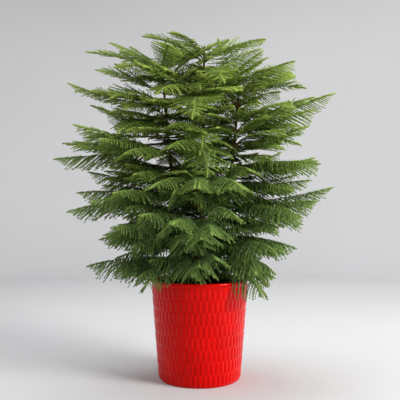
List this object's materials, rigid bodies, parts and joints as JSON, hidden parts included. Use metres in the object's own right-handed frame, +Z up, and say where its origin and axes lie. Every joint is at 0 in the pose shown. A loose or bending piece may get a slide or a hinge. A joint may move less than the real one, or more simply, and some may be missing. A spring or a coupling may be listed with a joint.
{
  "type": "potted norfolk pine",
  "caption": "Norfolk Island pine seedlings with tiers of feathery fronds, grown together in a black grow pot inside a tapered glossy red cover pot.",
  "frame": {"origin": "middle of the cover pot's flat underside, on the floor", "axes": "+Z up along the stems, -Y towards the front, +X to the right seen from the front"},
  "size_m": [0.7301, 0.5764, 0.9191],
  "materials": {
    "red_glaze": "glossy red glaze over rows of small upright scallops",
    "black_plastic": "satin black",
    "potting_mix": "matt, loose and damp",
    "bark": "matt, green above and brown below",
    "needles": "satin green, yellower at the growing ends"
  },
  "bodies": {
    "root": {"cover_pot": "red_glaze", "grow_pot": "black_plastic", "potting_mix": "potting_mix", "front_stem": "bark", "left_stem": "bark", "middle_stem": "bark", "right_stem": "bark", "front_tier1_frond1": "needles", "front_tier1_frond2": "needles", "front_tier2_frond1": "needles", "front_tier2_frond2": "needles", "front_tier3_frond1": "needles", "left_tier1_frond1": "needles", "left_tier1_frond2": "needles", "left_tier1_frond3": "needles", "left_tier2_frond1": "needles", "left_tier2_frond2": "needles", "left_tier2_frond3": "needles", "left_tier3_frond1": "needles", "left_tier3_frond2": "needles", "left_tier3_frond3": "needles", "left_tier3_frond4": "needles", "left_tier4_frond1": "needles", "left_tier4_frond2": "needles", "left_tier4_frond3": "needles", "left_tier4_frond4": "needles", "left_tier5_frond1": "needles", "left_tier5_frond2": "needles", "left_tier5_frond3": "needles", "left_tier6_frond1": "needles", "left_tier6_frond2": "needles", "left_tier6_frond3": "needles", "middle_tier1_frond1": "needles", "middle_tier1_frond2": "needles", "middle_tier2_frond1": "needles", "middle_tier2_frond2": "needles", "middle_tier2_frond3": "needles", "middle_tier2_frond4": "needles", "middle_tier2_frond5": "needles", "middle_tier3_frond1": "needles", "middle_tier3_frond2": "needles", "middle_tier3_frond3": "needles", "middle_tier4_frond1": "needles", "right_tier1_frond1": "needles", "right_tier1_frond2": "needles", "right_tier2_frond1": "needles", "right_tier2_frond2": "needles", "right_tier2_frond3": "needles", "right_tier3_frond1": "needles", "right_tier3_frond2": "needles", "right_tier3_frond3": "needles", "right_tier4_frond1": "needles", "right_tier4_frond2": "needles", "right_tier4_frond3": "needles", "right_tier5_frond1": "needles", "right_tier5_frond2": "needles", "right_tier5_frond3": "needles", "right_tier6_frond1": "needles", "right_tier6_frond2": "needles", "right_tier6_frond3": "needles"}
  },
  "joints": []
}
